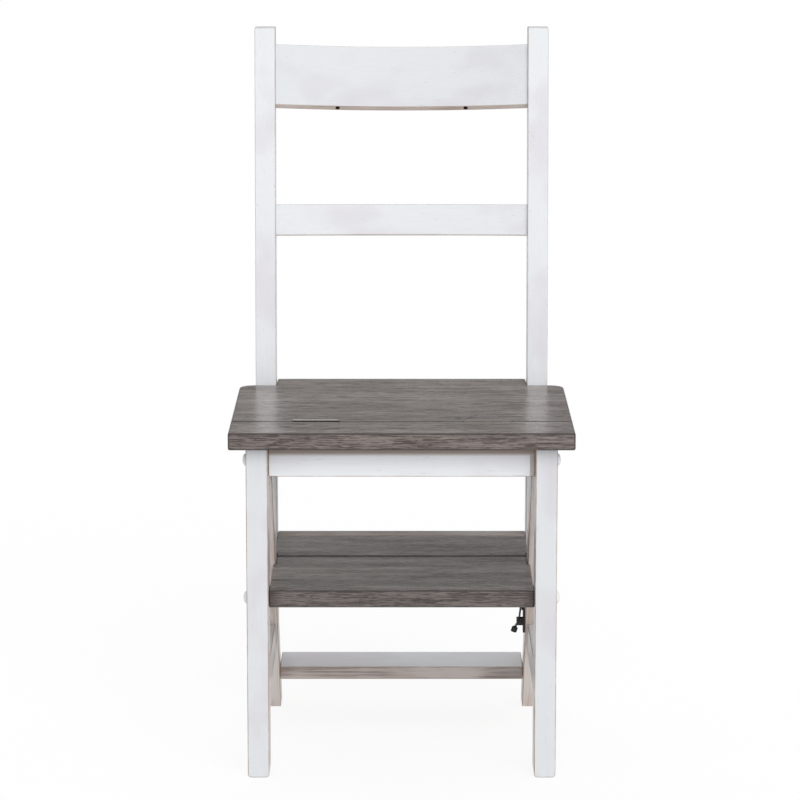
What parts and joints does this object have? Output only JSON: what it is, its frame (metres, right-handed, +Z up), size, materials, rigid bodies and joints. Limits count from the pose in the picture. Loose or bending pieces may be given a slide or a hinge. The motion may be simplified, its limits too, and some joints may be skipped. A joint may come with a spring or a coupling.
{
  "type": "library step chair",
  "caption": "Ladder-back wooden chair whose rear half folds forward over the front on hinges across the seat and becomes a set of steps.",
  "frame": {"origin": "middle of the footprint, on the floor", "axes": "+Z up along the back, -Y towards the front of the seat, +X to the right seen from the front"},
  "size_m": [0.451, 0.4494, 0.962],
  "materials": {
    "white_paint": "satin white paint on wood, rubbed through to tan wood along the edges",
    "grey_wood": "grey-brown stained wood, satin, grain across the chair",
    "hinge_steel": "plain steel",
    "black_metal": "black enamel",
    "cap_white": "white moulded cap"
  },
  "bodies": {
    "front_frame": {"front_leg_left": "white_paint", "front_leg_right": "white_paint", "front_stringer_left": "white_paint", "front_stringer_right": "white_paint", "side_stretcher_left": "white_paint", "side_stretcher_right": "white_paint", "front_apron": "white_paint", "bottom_stretcher": "white_paint", "seat_front_board": "grey_wood", "front_step": "grey_wood", "apron_bolt_left": "hinge_steel", "apron_bolt_right": "hinge_steel", "step_bolt_left": "hinge_steel", "step_bolt_right": "hinge_steel", "apron_cap_left": "cap_white", "apron_cap_right": "cap_white", "step_cap_left": "cap_white", "step_cap_right": "cap_white", "hinge_front_leaf_left": "hinge_steel", "hinge_front_leaf_right": "hinge_steel", "hinge_pin_left": "hinge_steel", "hinge_pin_right": "hinge_steel", "hinge_front_screw_left_left": "hinge_steel", "hinge_front_screw_left_right": "hinge_steel", "hinge_front_screw_right_left": "hinge_steel", "hinge_front_screw_right_right": "hinge_steel", "latch_screw_front": "black_metal", "latch_screw_rear": "black_metal", "latch_plate": "black_metal", "latch_pivot": "black_metal"},
    "rear_frame": {"rear_post_left": "white_paint", "rear_post_right": "white_paint", "rear_stringer_left": "white_paint", "rear_stringer_right": "white_paint", "rear_side_rail_left": "white_paint", "rear_side_rail_right": "white_paint", "rear_apron": "white_paint", "seat_rear_board": "grey_wood", "rear_step": "grey_wood", "rear_step_rail": "white_paint", "crest_rail": "white_paint", "back_slat": "white_paint", "hinge_rear_leaf_left": "hinge_steel", "hinge_rear_leaf_right": "hinge_steel", "hinge_rear_screw_left_left": "hinge_steel", "hinge_rear_screw_left_right": "hinge_steel", "hinge_rear_screw_right_left": "hinge_steel", "hinge_rear_screw_right_right": "hinge_steel"},
    "latch": {"latch_lever": "black_metal", "latch_pin": "black_metal", "latch_knob": "black_metal"}
  },
  "joints": [
    {"name": "seat_fold", "type": "hinge", "parent": "front_frame", "child": "rear_frame", "pos_m": [0, -0.13966, 0.4684], "axis": [1, 0, 0], "range_deg": [0, 175.5]},
    {"name": "latch_swing", "type": "hinge", "parent": "front_frame", "child": "latch", "pos_m": [0.1632, 0.07624, 0.1465], "axis": [0, -1, 0], "range_deg": [0, 24]}
  ]
}
